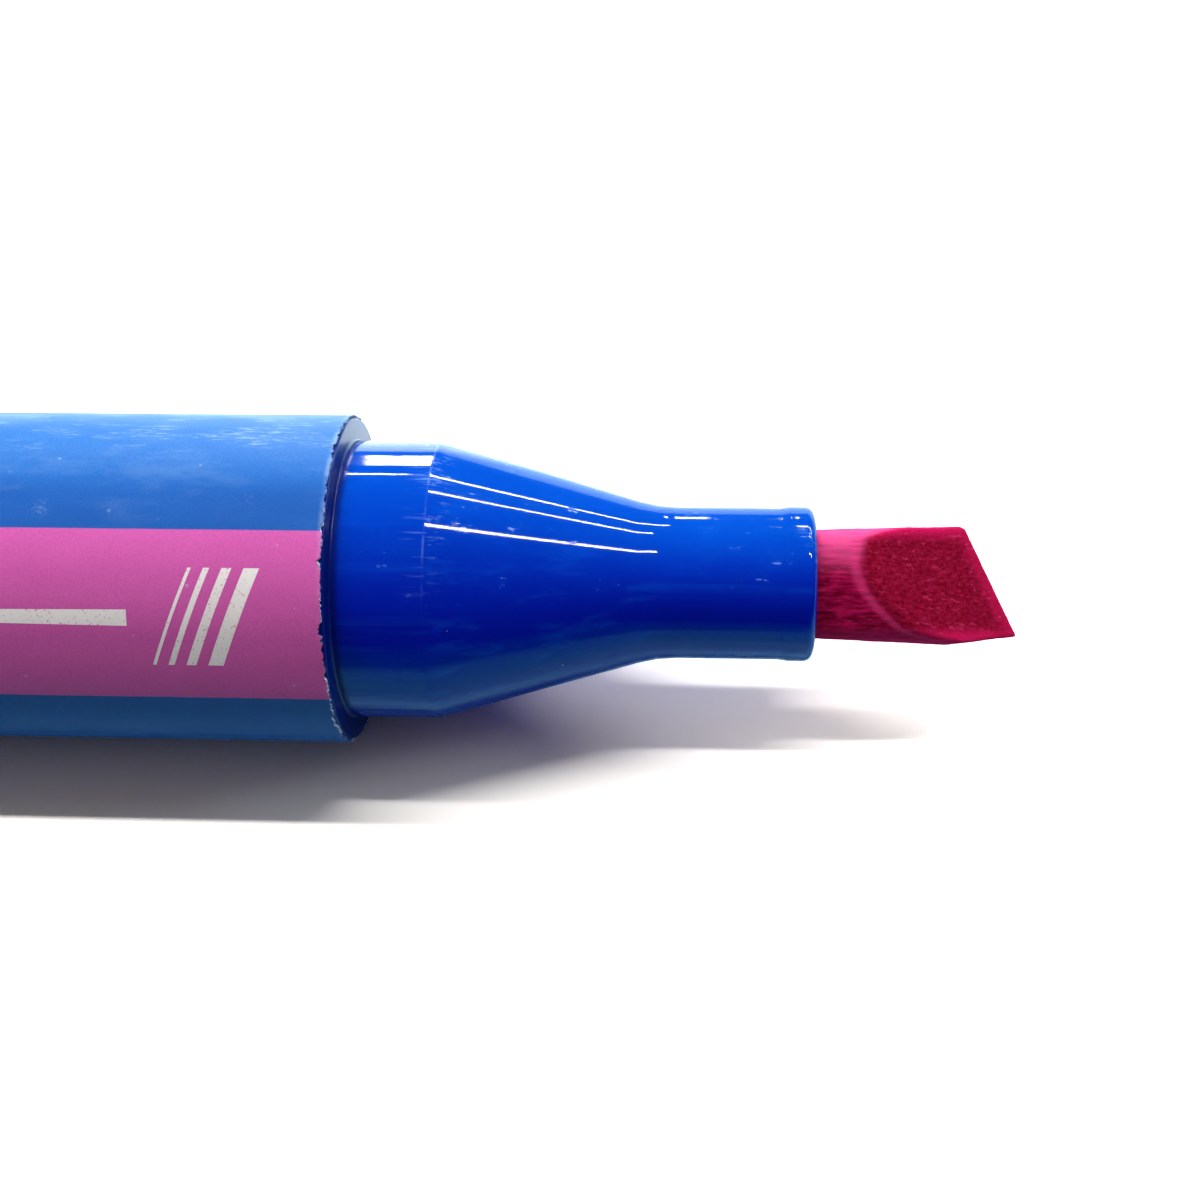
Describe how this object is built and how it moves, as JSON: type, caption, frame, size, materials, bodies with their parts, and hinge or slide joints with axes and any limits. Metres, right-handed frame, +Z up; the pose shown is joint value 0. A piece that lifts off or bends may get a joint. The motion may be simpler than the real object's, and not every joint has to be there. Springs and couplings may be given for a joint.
{
  "type": "felt-tip pen",
  "caption": "Broad felt-tip pen with a slanted chisel nib, stepped conical nose, film-wrapped round barrel, ink reservoir and a push-on cap carried on its tail.",
  "frame": {"origin": "on the table under the middle of the pen's length, with the barrel's axis one barrel radius above it", "axes": "+X along the pen towards the nib, +Z up from the table; the nib's broad face and the printed band look towards -Y and up"},
  "size_m": [0.1608, 0.016, 0.016],
  "materials": {
    "barrel_plastic": "glossy dark blue extruded plastic",
    "printed_film": "satin blue printed film with a pink band, scuffed, chipped at its ends",
    "gloss_blue": "high-gloss deep blue moulded plastic",
    "nib_felt": "ink-soaked crimson pressed fibre",
    "ink_fibre": "ink-soaked fibre bundle",
    "clear_film": "thin milky film",
    "cap_blue": "gloss deep blue moulded plastic",
    "seal_plastic": "soft milky plastic"
  },
  "bodies": {
    "pen": {"barrel_tube": "barrel_plastic", "barrel_film": "printed_film", "nib_holder": "gloss_blue", "nib": "nib_felt", "reservoir_core": "ink_fibre", "reservoir_sheath": "clear_film", "breather_tube": "clear_film", "tail_plug": "gloss_blue"},
    "cap": {"cap_shell": "cap_blue", "cap_seal": "seal_plastic"}
  },
  "joints": [
    {"name": "cap_pull", "type": "slide", "parent": "pen", "child": "cap", "axis": [-1, 0, 0], "range_m": [0, 0.025]}
  ]
}
